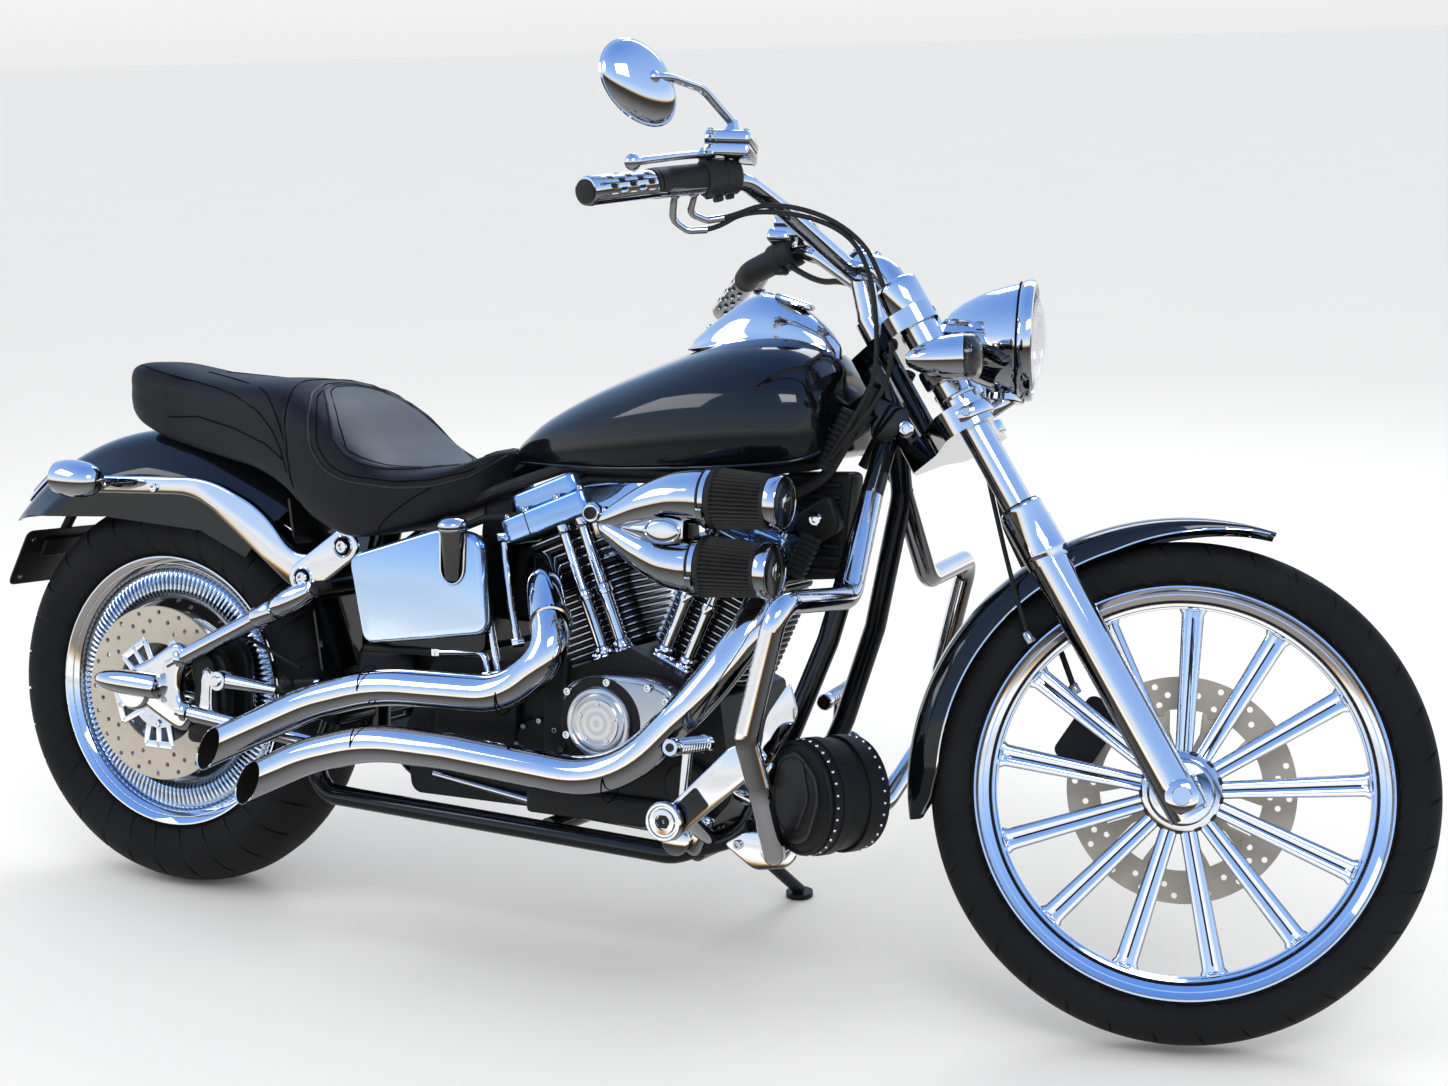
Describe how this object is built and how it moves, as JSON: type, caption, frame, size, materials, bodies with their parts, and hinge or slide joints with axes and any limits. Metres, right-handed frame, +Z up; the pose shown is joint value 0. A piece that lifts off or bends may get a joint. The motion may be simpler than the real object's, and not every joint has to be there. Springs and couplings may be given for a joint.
{
  "type": "chopper motorcycle",
  "caption": "Long low cruiser motorcycle with a raked fork, twin cylinder engine, swept exhausts, crash bars and side stand.",
  "frame": {"origin": "on the ground, under the middle of the box round the parked motorcycle", "axes": "+X forward along the motorcycle, +Y to its left, the side it leans to, +Z up"},
  "size_m": [2.3638, 0.858, 1.3548],
  "materials": {
    "black_paint": "gloss",
    "black_metal": "satin",
    "chrome": "polished",
    "leather": "soft, semi-matte",
    "bag_leather": "grained",
    "tyre_rubber": "matte",
    "black_rubber": "matte",
    "fin_metal": "black with bright fin edges",
    "polished_alloy": "polished",
    "brushed_cover": "polished with a brushed disc",
    "disc_steel": "brushed",
    "lens": "clear",
    "signal_metal": "polished",
    "filter": "pleated",
    "black_plastic": "matte"
  },
  "bodies": {
    "chassis": {"frame_tubes": "black_paint", "swingarm": "chrome", "axle_covers": "chrome", "fuel_tank": "black_paint", "tank_console": "chrome", "seat": "leather", "rear_fender": "black_paint", "fender_struts": "chrome", "oil_tank": "black_paint", "oil_tank_cover": "chrome", "crankcase": "black_metal", "cylinders": "fin_metal", "rocker_covers": "chrome", "cam_cover": "brushed_cover", "pushrod_tubes": "chrome", "intake_horns": "chrome", "air_filters": "filter", "rear_exhaust": "chrome", "front_exhaust": "chrome", "gearbox_case": "black_metal", "primary_cover": "chrome", "crash_bar": "chrome", "drum_bag": "bag_leather", "foot_controls": "chrome", "number_plate": "black_plastic", "tail_lights": "signal_metal", "rear_caliper": "black_metal", "control_cables": "black_rubber", "drive_belt": "black_rubber"},
    "fork": {"triple_clamps": "chrome", "fork_tubes": "chrome", "fork_sliders": "chrome", "handlebar": "chrome", "right_controls": "chrome", "left_controls": "chrome", "mirror": "chrome", "headlamp": "chrome", "headlamp_lens": "lens", "front_signals": "chrome", "front_fender": "black_paint", "brake_hose": "black_rubber", "front_caliper": "black_metal"},
    "front_wheel_assembly": {"front_tyre": "tyre_rubber", "front_wheel": "chrome", "front_disc": "disc_steel"},
    "rear_wheel_assembly": {"rear_tyre": "tyre_rubber", "rear_wheel": "chrome", "rear_disc": "disc_steel", "belt_pulley": "polished_alloy"},
    "stand": {"side_stand": "black_metal"}
  },
  "joints": [
    {"name": "steering", "type": "hinge", "parent": "chassis", "child": "fork", "pos_m": [0.42146, 0.01663, 0.85239], "axis": [-0.5421, 0.1167, 0.8322], "range_deg": [-44, 10], "deforming": ["control_cables"]},
    {"name": "front_wheel_spin", "type": "hinge", "parent": "fork", "child": "front_wheel_assembly", "pos_m": [0.848, -0.03359, 0.33033], "axis": [-0.2461, 0.9248, -0.29], "continuous": true},
    {"name": "rear_wheel_spin", "type": "hinge", "parent": "chassis", "child": "rear_wheel_assembly", "pos_m": [-0.83916, -0.05767, 0.32759], "axis": [-0.0004, 0.9903, -0.1392], "continuous": true},
    {"name": "side_stand_fold", "type": "hinge", "parent": "chassis", "child": "stand", "pos_m": [0.11529, 0.0669, 0.14762], "axis": [0.0026, 0.7198, 0.6942], "range_deg": [0, 95]}
  ]
}
